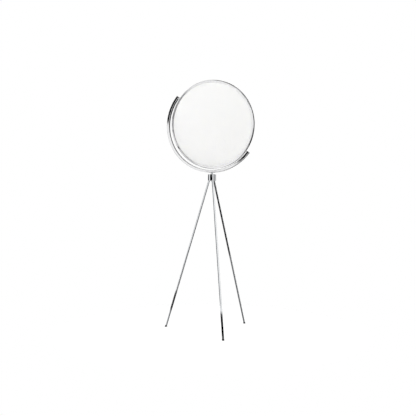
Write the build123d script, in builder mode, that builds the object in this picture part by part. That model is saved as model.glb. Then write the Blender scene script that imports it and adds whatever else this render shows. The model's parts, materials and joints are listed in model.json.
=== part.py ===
from build123d import *
import os
from math import cos, degrees, radians, sin

# Disc floor lamp: a thin round light head turns inside a half-circle arc,
# the arc slides through a carriage on a short swivel neck, and the neck stands
# in the hub of three straight legs. Millimetres, +Z up, the floor at Z = 0.
# The head faces -Y. X = 0 and Y = 0 is the middle of the space the lamp takes up.

# Overall
HEAD_TOP = 1996.0
HEAD_RADIUS = 352.0
HEAD_DEPTH = 24.0
ARC_SLIDE_DEG = 38.0  # pivot line of the head, below level on the right
HEAD_TILT_DEG = -8.0  # head about its pivot line, its lower left edge forward
AXIS_X = 22.5  # swivel axis, from the middle of the lamp's width

# Tripod
FOOT_CIRCLE = 388.0
LEG_AZIMUTHS = (180.0, 300.0, 60.0)
LEG_RADIUS = 8.0
LEG_WALL = 1.5
LEG_TOP_CIRCLE = 24.0
FOOT_RADIUS = 8.7
FOOT_HEIGHT = 13.0
FOOT_CHAMFER = 1.0
FOOT_PLUG = 18.0
HUB_RADIUS = 33.5
HUB_BOTTOM = 1197.0
HUB_HEIGHT = 50.0
HUB_CHAMFER = 0.8
SOCKET_DEPTH = 25.0
INSERT_LENGTH = 20.0
STUD_RADIUS = 4.0
STUD_IN_HUB = 8.0
STUD_END_GAP = 2.0

# Swivel
NECK_RADIUS = 8.0
NECK_FLARE = 2.5
SHOULDER_HEIGHT = 2.0
SHANK_RADIUS = 6.0
THREAD_RADIUS = 5.0
WIRE_BORE = 3.0
BUSH_LENGTH = 20.0
BUSH_WALL = 2.0
BUSH_FLANGE = 1.2
CAVITY_RADIUS = 11.0
CAVITY_DEPTH = 11.0
COVER_THICKNESS = 2.0
CABLE_HOLE = 4.5
CABLE_BORE = 2.6
CABLE_FLANGE = 6.0
CABLE_NECK = 4.2
CABLE_REACH = 8.0  # of the cable's bush, below the hub
NUT_FLATS = 16.0
NUT_HEIGHT = 4.0
WASHER_SHEET = 1.2
SPRING_SHEET = 0.7
SPRING_CUP = 0.7

# Arc
ARC_OUTER = 383.0
ARC_THICKNESS = 20.0
ARC_WIDTH = 28.0
ARC_WALL = 2.5
ARC_SLOT = 11.0
ARC_CHAMFER = 1.5
END_LENGTH = 16.0
SPIGOT_LENGTH = 10.0

# Carriage
CARRIAGE_HALF_DEG = 5.0
CARRIAGE_PLAY = 0.9  # between the carriage and the channel, taken up by its shoes
SHOE_DEG = 1.1
BRAKE_START_DEG = 1.6
BRAKE_DEG = 1.6
BRAKE_PLAY_DEG = 0.03
BRAKE_WIDTH = 10.0
BRAKE_THICKNESS = 2.0
POCKET_WALL = 3.4  # of the carriage, above the pocket's floor
LEAF_HALF = 4.6
LEAF_SHEET = 0.4

# Head
RIM_WALL = 1.8
RIM_CHAMFER = 0.8
LIP_WIDTH = 16.0
LIP_THICKNESS = 2.0
LIP_OVERHANG = 0.6  # past the gasket's inner edge
RIB_HEIGHT = 4.6
RIB_THICKNESS = 3.0
DIFFUSER_THICKNESS = 3.0
GASKET_THICKNESS = 1.0
GUIDE_THICKNESS = 4.0
SHEET_THICKNESS = 0.8
CARRIER_WALL = 1.0
CARRIER_FLANGE = 9.0
FLANGE_THICKNESS = 1.2
STRIP_THICKNESS = 0.8
CHIP_THICKNESS = 1.2
CHIP_WIDTH = 3.0
CHIP_COUNT = 72
PANEL_THICKNESS = 1.5
PANEL_STEP_RADIUS = 290.0
PANEL_STEP = 3.0
SCREW_COUNT = 8
SCREW_START_DEG = 22.5
SCREW_RADIUS = 1.2
SCREW_HEAD_RADIUS = 2.2
SCREW_HEAD_HEIGHT = 1.2
TERMINAL_PLACE = 220.0
TERMINAL_SIZE = (30.0, 28.0, 6.5)
TERMINAL_PITCH = (16.0, 12.0)
TERMINAL_HOLE = 2.5

# Pivots between arc and head
PIN_RADIUS = 3.0
PIN_BORE = 1.5
PIN_REACH = 8.0  # into the arc's end
PIVOT_BUSH_RADIUS = 4.5
BOSS_RADIUS = 6.0
WASHER_RADIUS = 6.5
WASHER_THICKNESS = 1.2
BLOCK_HALF_DEG = 1.6
BLOCK_WIDTH = 13.0

# Fits
FIT = 0.05  # radial clearance of pins, studs and shanks in their holes
GAP = 0.3  # between faces that move past each other
SLACK = 0.5  # where pieces only pass through

# Heights and radii that follow
TILT_LOSS = 1.1  # what the tilt takes off the head's height
HEAD_Z = HEAD_TOP - HEAD_RADIUS + TILT_LOSS
HUB_TOP = HUB_BOTTOM + HUB_HEIGHT
ARC_INNER = ARC_OUTER - ARC_THICKNESS
ARC_MIDDLE = (ARC_INNER + ARC_OUTER) / 2
CAVE_INNER = ARC_INNER + ARC_WALL
CAVE_OUTER = ARC_OUTER - ARC_WALL
CAVE_DEPTH = CAVE_OUTER - CAVE_INNER
CAVE_WIDTH = ARC_WIDTH - 2 * ARC_WALL
END_HALF_DEG = degrees(END_LENGTH / 2 / ARC_MIDDLE)
SPIGOT_DEG = degrees(SPIGOT_LENGTH / ARC_MIDDLE)

NECK_TOP = HEAD_Z - ARC_OUTER - SLACK
NECK_BOTTOM = HUB_TOP + BUSH_FLANGE + GAP
SHOULDER_RADIUS = NECK_RADIUS + NECK_FLARE
TENON_RADIUS = ARC_SLOT / 2 - SLACK
TENON_TOP = HEAD_Z - CAVE_INNER - BRAKE_THICKNESS
BUSH_BOTTOM = HUB_TOP - BUSH_LENGTH
BUSH_OUTER = SHANK_RADIUS + BUSH_WALL
COVER_TOP = HUB_BOTTOM + COVER_THICKNESS
WASHER_BOTTOM = HUB_BOTTOM + CAVITY_DEPTH - GAP - WASHER_SHEET
NUT_TOP = WASHER_BOTTOM - SPRING_SHEET - SPRING_CUP

FRONT = HEAD_DEPTH / 2
LIP_BACK = FRONT - LIP_THICKNESS
DIFFUSER_FRONT = LIP_BACK - GASKET_THICKNESS
DIFFUSER_BACK = DIFFUSER_FRONT - DIFFUSER_THICKNESS
GUIDE_BACK = DIFFUSER_BACK - GUIDE_THICKNESS
SHEET_BACK = GUIDE_BACK - SHEET_THICKNESS
PANEL_FRONT = -FRONT + PANEL_THICKNESS
RIM_INNER = HEAD_RADIUS - RIM_WALL
RIB_INNER = RIM_INNER - RIB_HEIGHT
SCREW_CIRCLE = (RIB_INNER + RIM_INNER) / 2
STACK_RADIUS = RIB_INNER - SLACK
CARRIER_INNER = STACK_RADIUS - CARRIER_WALL
STRIP_INNER = CARRIER_INNER - STRIP_THICKNESS
GUIDE_RADIUS = STRIP_INNER - CHIP_THICKNESS - GAP
BOSS_FACE = HEAD_RADIUS + WASHER_THICKNESS + GAP
PIN_START = STACK_RADIUS + SLACK
PIN_END = ARC_INNER + PIN_REACH

# The lamp's centre, the upright frame of the carriage, the arc's frame turned
# by its slide, and the head's frame turned about the pivot line by its tilt.
# In each frame x and y lie in the arc or the disc and z points to the front.
CENTRE = Vector(AXIS_X, 0, HEAD_Z)
SLIDE = radians(ARC_SLIDE_DEG)
TILT = radians(HEAD_TILT_DEG)
PIVOT_LINE = Vector(cos(SLIDE), 0, -sin(SLIDE))
ARC_NORMAL = Vector(0, -1, 0)
ARC_ACROSS = Vector(sin(SLIDE), 0, cos(SLIDE))
HEAD_NORMAL = ARC_NORMAL * cos(TILT) + ARC_ACROSS * sin(TILT)

CARRIAGE_FRAME = Plane(origin=CENTRE, x_dir=(1, 0, 0), z_dir=ARC_NORMAL)
ARC_FRAME = Plane(origin=CENTRE, x_dir=PIVOT_LINE, z_dir=ARC_NORMAL)
HEAD_FRAME = Plane(origin=CENTRE, x_dir=PIVOT_LINE, z_dir=HEAD_NORMAL)
SWIVEL_AXIS = Axis((AXIS_X, 0, 0), (0, 0, 1))

# Both ends of the arc: name, angle on the arc, and where its spigot starts.
ENDS = (
    ("upper", 180.0, 180.0 + END_HALF_DEG),
    ("lower", 0.0, -END_HALF_DEG - SPIGOT_DEG),
)


def level(height):
    """Level plane on the swivel axis, at this height above the floor."""
    return Plane(origin=(AXIS_X, 0, height))


def upright():
    """Upright plane through the swivel axis: x out from the axis, y up from the floor."""
    return Plane(origin=(AXIS_X, 0, 0), x_dir=(1, 0, 0), z_dir=(0, -1, 0))


def ray(frame, angle):
    """Direction from a frame's centre at this angle, in degrees from its x axis."""
    return frame.x_dir * cos(radians(angle)) + frame.y_dir * sin(radians(angle))


def section_plane(frame, angle):
    """Plane of a cross-section at this angle: x outwards along the ray, y to the front."""
    out = ray(frame, angle)
    return Plane(origin=frame.origin, x_dir=out, z_dir=out.cross(frame.z_dir))


def across_ray(frame, angle, radius):
    """Plane square to the ray at this angle, its middle this far from the centre."""
    out = ray(frame, angle)
    return Plane(origin=frame.origin + out * radius, x_dir=frame.z_dir, z_dir=out)


def spin_axis(frame):
    """Axis through a frame's centre, towards its front."""
    return Axis(frame.origin, frame.z_dir)


def leg_ends(azimuth):
    """Where a leg's centre line meets the floor and where it enters the hub."""
    out = Vector(cos(radians(azimuth)), sin(radians(azimuth)), 0)
    ground = Vector(AXIS_X, 0, 0) + out * FOOT_CIRCLE
    entry = Vector(AXIS_X, 0, HUB_BOTTOM) + out * LEG_TOP_CIRCLE
    return ground, entry


def leg_plane(azimuth, along):
    """Plane square to a leg, this far along it from where its centre line enters the hub."""
    ground, entry = leg_ends(azimuth)
    direction = (entry - ground).normalized()
    side = Vector(-sin(radians(azimuth)), cos(radians(azimuth)), 0)
    return Plane(origin=entry + direction * along, x_dir=side, z_dir=direction)


def save(piece, name):
    """Label a finished piece and write it to its file."""
    piece.part.label = name
    export_step(piece.part, "parts/" + name + ".step")


os.makedirs("parts", exist_ok=True)

# Tripod hub: a turned cylinder. Three leaning sockets take the legs from below, each with
# a tapped hole for its stud, and a bore down the middle takes the swivel and the wires.
with BuildPart() as tripod_hub:
    with BuildSketch(level(HUB_BOTTOM)):
        Circle(HUB_RADIUS)
    extrude(amount=HUB_HEIGHT)
    chamfer(tripod_hub.edges().filter_by(GeomType.CIRCLE), length=HUB_CHAMFER)
    for azimuth in LEG_AZIMUTHS:
        with BuildSketch(leg_plane(azimuth, -LEG_RADIUS)):
            Circle(LEG_RADIUS + FIT)
        extrude(amount=LEG_RADIUS + SOCKET_DEPTH, mode=Mode.SUBTRACT)
        with BuildSketch(leg_plane(azimuth, SOCKET_DEPTH - STUD_END_GAP)):
            Circle(STUD_RADIUS + FIT)
        extrude(amount=STUD_IN_HUB + 2 * STUD_END_GAP, mode=Mode.SUBTRACT)
    with BuildSketch(level(HUB_BOTTOM)):
        Circle(CAVITY_RADIUS)
    extrude(amount=CAVITY_DEPTH, mode=Mode.SUBTRACT)
    with BuildSketch(level(HUB_BOTTOM)):
        Circle(THREAD_RADIUS + SLACK)
    extrude(amount=HUB_HEIGHT, mode=Mode.SUBTRACT)
    with BuildSketch(level(BUSH_BOTTOM)):
        Circle(BUSH_OUTER)
    extrude(amount=BUSH_LENGTH, mode=Mode.SUBTRACT)
save(tripod_hub, "tripod_hub")

# Legs: straight tubes of one diameter. The rubber foot plugs the lower end and is cut
# level, so that its whole sole stands on the floor.
for number, azimuth in enumerate(LEG_AZIMUTHS, start=1):
    ground, entry = leg_ends(azimuth)
    reach = (entry - ground).length
    tube_start = FOOT_HEIGHT - reach
    tube_end = SOCKET_DEPTH - GAP

    with BuildPart() as leg:
        with BuildSketch(leg_plane(azimuth, tube_start)):
            Circle(LEG_RADIUS)
            Circle(LEG_RADIUS - LEG_WALL, mode=Mode.SUBTRACT)
        extrude(amount=tube_end - tube_start)
    save(leg, "leg_" + str(number))

    with BuildPart() as foot:
        with BuildSketch(leg_plane(azimuth, -reach - FOOT_RADIUS)):
            Circle(FOOT_RADIUS)
        extrude(amount=FOOT_RADIUS + FOOT_HEIGHT)
        chamfer(foot.edges().group_by(Axis.Z)[-1], length=FOOT_CHAMFER)
        with BuildSketch(leg_plane(azimuth, tube_start)):
            Circle(LEG_RADIUS - LEG_WALL - FIT)
        extrude(amount=FOOT_PLUG)
        split(bisect_by=Plane.XY, keep=Keep.TOP)
    save(foot, "foot_" + str(number))

# Each leg's top is closed by a tapped insert, which screws onto a stud in the hub.
with BuildPart() as leg_inserts:
    for azimuth in LEG_AZIMUTHS:
        with BuildSketch(leg_plane(azimuth, SOCKET_DEPTH - GAP - INSERT_LENGTH)):
            Circle(LEG_RADIUS - LEG_WALL - FIT)
            Circle(STUD_RADIUS + FIT, mode=Mode.SUBTRACT)
        extrude(amount=INSERT_LENGTH)
save(leg_inserts, "leg_inserts")

with BuildPart() as leg_studs:
    for azimuth in LEG_AZIMUTHS:
        with BuildSketch(leg_plane(azimuth, SOCKET_DEPTH - INSERT_LENGTH + STUD_END_GAP)):
            Circle(STUD_RADIUS)
        extrude(amount=INSERT_LENGTH - STUD_END_GAP + STUD_IN_HUB)
save(leg_studs, "leg_studs")

# Flanged bush in the top of the hub, which the swivel turns in.
with BuildPart() as swivel_bush:
    with BuildSketch(level(BUSH_BOTTOM)):
        Circle(BUSH_OUTER - FIT)
    extrude(amount=BUSH_LENGTH)
    with BuildSketch(level(HUB_TOP)):
        Circle(SHOULDER_RADIUS + SLACK)
    extrude(amount=BUSH_FLANGE)
    with BuildSketch(level(BUSH_BOTTOM)):
        Circle(SHANK_RADIUS + FIT)
    extrude(amount=BUSH_LENGTH + BUSH_FLANGE, mode=Mode.SUBTRACT)
save(swivel_bush, "swivel_bush")

# Swivel spindle: the neck that shows under the arc, turned in one piece with a tenon that
# goes through the arc's slot into the carriage, a shank in the bush and a threaded tail.
# It is bored through for the wires.
with BuildPart() as swivel_spindle:
    with BuildSketch(upright()):
        with BuildLine():
            Polyline(
                (WIRE_BORE, COVER_TOP + SLACK),
                (THREAD_RADIUS, COVER_TOP + SLACK),
                (THREAD_RADIUS, BUSH_BOTTOM),
                (SHANK_RADIUS, BUSH_BOTTOM),
                (SHANK_RADIUS, NECK_BOTTOM),
                (SHOULDER_RADIUS, NECK_BOTTOM),
                (SHOULDER_RADIUS, NECK_BOTTOM + SHOULDER_HEIGHT),
                (NECK_RADIUS, NECK_BOTTOM + SHOULDER_HEIGHT + NECK_FLARE),
                (NECK_RADIUS, NECK_TOP - SLACK),
                (NECK_RADIUS - SLACK, NECK_TOP),
                (TENON_RADIUS, NECK_TOP),
                (TENON_RADIUS, TENON_TOP),
                (WIRE_BORE, TENON_TOP),
                close=True,
            )
        make_face()
    revolve(axis=SWIVEL_AXIS)
save(swivel_spindle, "swivel_spindle")

# Under the hub's floor a flat washer, a cupped spring washer and a lock nut hold the
# spindle down and set how stiffly it turns.
with BuildPart() as swivel_washer:
    with BuildSketch(level(WASHER_BOTTOM)):
        Circle(CAVITY_RADIUS - 2 * SLACK)
        Circle(THREAD_RADIUS + FIT, mode=Mode.SUBTRACT)
    extrude(amount=WASHER_SHEET)
save(swivel_washer, "swivel_washer")

with BuildPart() as swivel_spring:
    with BuildSketch(upright()):
        with BuildLine():
            Polyline(
                (THREAD_RADIUS + GAP, NUT_TOP),
                (CAVITY_RADIUS - 3 * SLACK, NUT_TOP + SPRING_CUP),
                (CAVITY_RADIUS - 3 * SLACK, WASHER_BOTTOM),
                (THREAD_RADIUS + GAP, WASHER_BOTTOM - SPRING_CUP),
                close=True,
            )
        make_face()
    revolve(axis=SWIVEL_AXIS)
save(swivel_spring, "swivel_spring")

with BuildPart() as swivel_nut:
    with BuildSketch(level(NUT_TOP - NUT_HEIGHT)):
        RegularPolygon(NUT_FLATS / 2, 6, major_radius=False)
        Circle(THREAD_RADIUS + FIT, mode=Mode.SUBTRACT)
    extrude(amount=NUT_HEIGHT)
save(swivel_nut, "swivel_nut")

# A pressed cover closes the hub from below, with the moulded bush that the cable leaves by.
with BuildPart() as hub_cover:
    with BuildSketch(level(HUB_BOTTOM)):
        Circle(CAVITY_RADIUS - FIT)
        Circle(CABLE_HOLE, mode=Mode.SUBTRACT)
    extrude(amount=COVER_THICKNESS)
save(hub_cover, "hub_cover")

with BuildPart() as cable_bush:
    with BuildSketch(upright()):
        with BuildLine():
            Polyline(
                (CABLE_BORE, COVER_TOP),
                (CABLE_HOLE - FIT, COVER_TOP),
                (CABLE_HOLE - FIT, HUB_BOTTOM),
                (CABLE_FLANGE, HUB_BOTTOM),
                (CABLE_FLANGE, HUB_BOTTOM - BUSH_FLANGE),
                (CABLE_NECK, HUB_BOTTOM - CABLE_REACH),
                (CABLE_BORE, HUB_BOTTOM - CABLE_REACH),
                close=True,
            )
        make_face()
    revolve(axis=SWIVEL_AXIS)
save(cable_bush, "cable_bush")

# Arc channel: half a circle of C section, its slot on the outside for the swivel's neck.
with BuildPart() as arc_channel:
    with BuildSketch(section_plane(ARC_FRAME, 180.0 + END_HALF_DEG)) as channel_section:
        with Locations((ARC_MIDDLE, 0)):
            Rectangle(ARC_THICKNESS, ARC_WIDTH)
        chamfer(channel_section.vertices(), length=ARC_CHAMFER)
        with Locations((ARC_MIDDLE, 0)):
            Rectangle(CAVE_DEPTH, CAVE_WIDTH, mode=Mode.SUBTRACT)
        with Locations((ARC_OUTER, 0)):
            Rectangle(3 * ARC_WALL, ARC_SLOT, mode=Mode.SUBTRACT)
    revolve(axis=spin_axis(ARC_FRAME), revolution_arc=180.0 - 2 * END_HALF_DEG)
save(arc_channel, "arc_channel")

# Arc ends: a square block closes each end of the channel. Its spigot slides into the
# channel, and its boss reaches across the gap to the head and holds the pivot bush.
for place, angle, spigot_start in ENDS:
    with BuildPart() as arc_end:
        with BuildSketch(section_plane(ARC_FRAME, angle - END_HALF_DEG)) as end_section:
            with Locations((ARC_MIDDLE, 0)):
                Rectangle(ARC_THICKNESS, ARC_WIDTH)
            chamfer(end_section.vertices(), length=ARC_CHAMFER)
        revolve(axis=spin_axis(ARC_FRAME), revolution_arc=2 * END_HALF_DEG)
        with BuildSketch(section_plane(ARC_FRAME, spigot_start)):
            with Locations((ARC_MIDDLE, 0)):
                Rectangle(CAVE_DEPTH - 2 * FIT, CAVE_WIDTH - 2 * FIT)
        revolve(axis=spin_axis(ARC_FRAME), revolution_arc=SPIGOT_DEG)
        with BuildSketch(across_ray(ARC_FRAME, angle, BOSS_FACE)):
            Circle(BOSS_RADIUS)
        extrude(amount=ARC_MIDDLE - BOSS_FACE)
        with BuildSketch(across_ray(ARC_FRAME, angle, BOSS_FACE)):
            Circle(PIVOT_BUSH_RADIUS + FIT)
        extrude(amount=PIN_END - BOSS_FACE + SLACK, mode=Mode.SUBTRACT)
    save(arc_end, "arc_end_" + place)

    with BuildPart() as pivot_bush:
        with BuildSketch(across_ray(ARC_FRAME, angle, BOSS_FACE)):
            Circle(PIVOT_BUSH_RADIUS)
            Circle(PIN_RADIUS + FIT, mode=Mode.SUBTRACT)
        extrude(amount=PIN_END - BOSS_FACE)
    save(pivot_bush, "pivot_bush_" + place)

# Carriage: a curved block that stays upright on the swivel while the arc slides round it.
# Two pockets in its top hold the brake shoes, which leaf springs press on the channel.
DOWN = 270.0
BRAKE_STARTS = (DOWN - BRAKE_START_DEG - BRAKE_DEG, DOWN + BRAKE_START_DEG)
POCKET_FLOOR = CAVE_INNER + CARRIAGE_PLAY + POCKET_WALL
SHOE_FACE = CAVE_INNER + GAP
SHOE_BACK = SHOE_FACE + BRAKE_THICKNESS
with BuildPart() as arc_carriage:
    with BuildSketch(section_plane(CARRIAGE_FRAME, DOWN - CARRIAGE_HALF_DEG + SHOE_DEG)):
        with Locations((ARC_MIDDLE, 0)):
            Rectangle(CAVE_DEPTH - 2 * CARRIAGE_PLAY, CAVE_WIDTH - 2 * CARRIAGE_PLAY)
    revolve(axis=spin_axis(CARRIAGE_FRAME), revolution_arc=2 * (CARRIAGE_HALF_DEG - SHOE_DEG))
    with BuildSketch(level(HEAD_Z - ARC_OUTER)):
        Circle(TENON_RADIUS + FIT)
    extrude(amount=ARC_THICKNESS, mode=Mode.SUBTRACT)
    for start in BRAKE_STARTS:
        with BuildSketch(section_plane(CARRIAGE_FRAME, start)):
            with Locations(((ARC_INNER + POCKET_FLOOR) / 2, 0)):
                Rectangle(POCKET_FLOOR - ARC_INNER, BRAKE_WIDTH)
        revolve(axis=spin_axis(CARRIAGE_FRAME), revolution_arc=BRAKE_DEG, mode=Mode.SUBTRACT)
save(arc_carriage, "arc_carriage")

# Moulded shoes on both ends of the carriage fill the channel and guide the arc.
with BuildPart() as carriage_shoes:
    for start in (DOWN - CARRIAGE_HALF_DEG, DOWN + CARRIAGE_HALF_DEG - SHOE_DEG):
        with BuildSketch(section_plane(CARRIAGE_FRAME, start)):
            with Locations((ARC_MIDDLE, 0)):
                Rectangle(CAVE_DEPTH - 2 * GAP, CAVE_WIDTH - 2 * GAP)
        revolve(axis=spin_axis(CARRIAGE_FRAME), revolution_arc=SHOE_DEG)
save(carriage_shoes, "carriage_shoes")

with BuildPart() as brake_shoes:
    for start in BRAKE_STARTS:
        with BuildSketch(section_plane(CARRIAGE_FRAME, start + BRAKE_PLAY_DEG)):
            with Locations(((SHOE_FACE + SHOE_BACK) / 2, 0)):
                Rectangle(BRAKE_THICKNESS, BRAKE_WIDTH - SLACK)
        revolve(axis=spin_axis(CARRIAGE_FRAME), revolution_arc=BRAKE_DEG - 2 * BRAKE_PLAY_DEG)
save(brake_shoes, "brake_shoes")

# Each leaf spring is a bowed strip: its ends near the pocket's floor, its middle on the shoe.
LEAF_RISE = POCKET_FLOOR - SHOE_BACK - LEAF_SHEET - 2 * FIT
with BuildPart() as brake_springs:
    for start in BRAKE_STARTS:
        middle = start + BRAKE_DEG / 2
        out = ray(CARRIAGE_FRAME, middle)
        along = ray(CARRIAGE_FRAME, middle + 90)
        touch = CENTRE + out * (SHOE_BACK + FIT)
        with BuildSketch(Plane(origin=touch, x_dir=along, z_dir=along.cross(out))):
            with BuildLine():
                ThreePointArc((-LEAF_HALF, LEAF_RISE), (0, 0), (LEAF_HALF, LEAF_RISE))
                Line((LEAF_HALF, LEAF_RISE), (LEAF_HALF, LEAF_RISE + LEAF_SHEET))
                ThreePointArc(
                    (LEAF_HALF, LEAF_RISE + LEAF_SHEET),
                    (0, LEAF_SHEET),
                    (-LEAF_HALF, LEAF_RISE + LEAF_SHEET),
                )
                Line((-LEAF_HALF, LEAF_RISE + LEAF_SHEET), (-LEAF_HALF, LEAF_RISE))
            make_face()
        extrude(amount=BRAKE_WIDTH / 2 - 2 * SLACK, both=True)
save(brake_springs, "brake_springs")

# Head rim: a rolled section with a flat front lip over the diffuser's edge and a rib
# at the back for the panel's screws. Two holes on the pivot line take the pins.
with BuildPart() as head_rim:
    with BuildSketch(section_plane(HEAD_FRAME, 90)) as rim_section:
        with BuildLine():
            Polyline(
                (HEAD_RADIUS, -FRONT),
                (HEAD_RADIUS, FRONT),
                (HEAD_RADIUS - LIP_WIDTH, FRONT),
                (HEAD_RADIUS - LIP_WIDTH, LIP_BACK),
                (RIM_INNER, LIP_BACK),
                (RIM_INNER, PANEL_FRONT + RIB_THICKNESS),
                (RIB_INNER, PANEL_FRONT + RIB_THICKNESS),
                (RIB_INNER, PANEL_FRONT),
                (RIM_INNER, PANEL_FRONT),
                (RIM_INNER, -FRONT),
                close=True,
            )
        make_face()
        chamfer(rim_section.vertices().group_by(Axis.X)[-1], length=RIM_CHAMFER)
    revolve(axis=spin_axis(HEAD_FRAME))
    for place, angle, spigot_start in ENDS:
        with BuildSketch(across_ray(HEAD_FRAME, angle, RIM_INNER - SLACK)):
            Circle(PIN_RADIUS + FIT)
        extrude(amount=RIM_WALL + 2 * SLACK, mode=Mode.SUBTRACT)
    with BuildSketch(HEAD_FRAME.offset(PANEL_FRONT)):
        with PolarLocations(SCREW_CIRCLE, SCREW_COUNT, start_angle=SCREW_START_DEG):
            Circle(SCREW_RADIUS + FIT)
    extrude(amount=RIB_THICKNESS, mode=Mode.SUBTRACT)
save(head_rim, "head_rim")

# Behind the lip: soft gasket, opal diffuser, clear light guide and white reflector sheet.
with BuildPart() as diffuser_gasket:
    with BuildSketch(HEAD_FRAME.offset(DIFFUSER_FRONT)):
        Circle(STACK_RADIUS)
        Circle(HEAD_RADIUS - LIP_WIDTH + LIP_OVERHANG, mode=Mode.SUBTRACT)
    extrude(amount=GASKET_THICKNESS)
save(diffuser_gasket, "diffuser_gasket")

with BuildPart() as diffuser:
    with BuildSketch(HEAD_FRAME.offset(DIFFUSER_BACK)):
        Circle(STACK_RADIUS)
    extrude(amount=DIFFUSER_THICKNESS)
save(diffuser, "diffuser")

with BuildPart() as light_guide:
    with BuildSketch(HEAD_FRAME.offset(GUIDE_BACK)):
        Circle(GUIDE_RADIUS)
    extrude(amount=GUIDE_THICKNESS)
save(light_guide, "light_guide")

with BuildPart() as reflector_sheet:
    with BuildSketch(HEAD_FRAME.offset(SHEET_BACK)):
        Circle(GUIDE_RADIUS)
    extrude(amount=SHEET_THICKNESS)
save(reflector_sheet, "reflector_sheet")

# The carrier ring cools the light strip, which lights the guide from its edge, and its
# flange holds the stack of sheets against the lip.
with BuildPart() as strip_carrier:
    with BuildSketch(section_plane(HEAD_FRAME, 90)):
        with BuildLine():
            Polyline(
                (STACK_RADIUS, PANEL_FRONT),
                (STACK_RADIUS, DIFFUSER_BACK),
                (CARRIER_INNER, DIFFUSER_BACK),
                (CARRIER_INNER, SHEET_BACK),
                (CARRIER_INNER - CARRIER_FLANGE, SHEET_BACK),
                (CARRIER_INNER - CARRIER_FLANGE, SHEET_BACK - FLANGE_THICKNESS),
                (CARRIER_INNER, SHEET_BACK - FLANGE_THICKNESS),
                (CARRIER_INNER, PANEL_FRONT),
                close=True,
            )
        make_face()
    revolve(axis=spin_axis(HEAD_FRAME))
save(strip_carrier, "strip_carrier")

with BuildPart() as light_strip:
    with BuildSketch(HEAD_FRAME.offset(SHEET_BACK)):
        Circle(CARRIER_INNER)
        Circle(STRIP_INNER, mode=Mode.SUBTRACT)
    extrude(amount=DIFFUSER_BACK - SHEET_BACK)
save(light_strip, "light_strip")

with BuildPart() as light_chips:
    with BuildSketch(HEAD_FRAME.offset(GUIDE_BACK + SLACK)):
        with PolarLocations(STRIP_INNER - CHIP_THICKNESS / 2 - FIT, CHIP_COUNT):
            Rectangle(CHIP_THICKNESS, CHIP_WIDTH)
    extrude(amount=GUIDE_THICKNESS - 2 * SLACK)
save(light_chips, "light_chips")

# Back panel: a pressed sheet with a shallow round step, flush with the rim's back edge.
PANEL_RADIUS = RIM_INNER - GAP
STEP_FOOT = PANEL_STEP_RADIUS + 2 * PANEL_STEP
with BuildPart() as back_panel:
    with BuildSketch(section_plane(HEAD_FRAME, 90)):
        with BuildLine():
            Polyline(
                (0, -FRONT + PANEL_STEP),
                (PANEL_STEP_RADIUS, -FRONT + PANEL_STEP),
                (STEP_FOOT, -FRONT),
                (PANEL_RADIUS, -FRONT),
                (PANEL_RADIUS, PANEL_FRONT),
                (STEP_FOOT - SLACK, PANEL_FRONT),
                (PANEL_STEP_RADIUS - SLACK, PANEL_FRONT + PANEL_STEP),
                (0, PANEL_FRONT + PANEL_STEP),
                close=True,
            )
        make_face()
    revolve(axis=spin_axis(HEAD_FRAME))
    with BuildSketch(HEAD_FRAME.offset(-FRONT)):
        with PolarLocations(SCREW_CIRCLE, SCREW_COUNT, start_angle=SCREW_START_DEG):
            Circle(SCREW_RADIUS + GAP)
    extrude(amount=PANEL_THICKNESS, mode=Mode.SUBTRACT)
save(back_panel, "back_panel")

with BuildPart() as panel_screws:
    with BuildSketch(HEAD_FRAME.offset(-FRONT)):
        with PolarLocations(SCREW_CIRCLE, SCREW_COUNT, start_angle=SCREW_START_DEG):
            Circle(SCREW_RADIUS)
    extrude(amount=PANEL_THICKNESS + RIB_THICKNESS)
    with BuildSketch(HEAD_FRAME.offset(-FRONT - SCREW_HEAD_HEIGHT)):
        with PolarLocations(SCREW_CIRCLE, SCREW_COUNT, start_angle=SCREW_START_DEG):
            Circle(SCREW_HEAD_RADIUS)
    extrude(amount=SCREW_HEAD_HEIGHT)
save(panel_screws, "panel_screws")

# Pivots: a tapped block inside the rim holds each hollow pin, which turns in the bush of
# the arc's end. A slippery washer keeps the rim off the boss. The wires run through a pin.
BLOCK_INNER = STACK_RADIUS + GAP
for place, angle, spigot_start in ENDS:
    with BuildPart() as pivot_block:
        with BuildSketch(section_plane(HEAD_FRAME, angle - BLOCK_HALF_DEG)):
            with Locations(((RIM_INNER + BLOCK_INNER) / 2, 0)):
                Rectangle(RIM_INNER - BLOCK_INNER, BLOCK_WIDTH)
        revolve(axis=spin_axis(HEAD_FRAME), revolution_arc=2 * BLOCK_HALF_DEG)
        with BuildSketch(across_ray(HEAD_FRAME, angle, STACK_RADIUS)):
            Circle(PIN_RADIUS + FIT)
        extrude(amount=RIM_INNER - STACK_RADIUS + SLACK, mode=Mode.SUBTRACT)
    save(pivot_block, "pivot_block_" + place)

    with BuildPart() as pivot_pin:
        with BuildSketch(across_ray(HEAD_FRAME, angle, PIN_START)):
            Circle(PIN_RADIUS)
            Circle(PIN_BORE, mode=Mode.SUBTRACT)
        extrude(amount=PIN_END - PIN_START)
    save(pivot_pin, "pivot_pin_" + place)

    with BuildPart() as pivot_washer:
        with BuildSketch(across_ray(HEAD_FRAME, angle, HEAD_RADIUS)):
            Circle(WASHER_RADIUS)
            Circle(PIN_RADIUS + FIT, mode=Mode.SUBTRACT)
        extrude(amount=WASHER_THICKNESS)
    save(pivot_washer, "pivot_washer_" + place)

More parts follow.
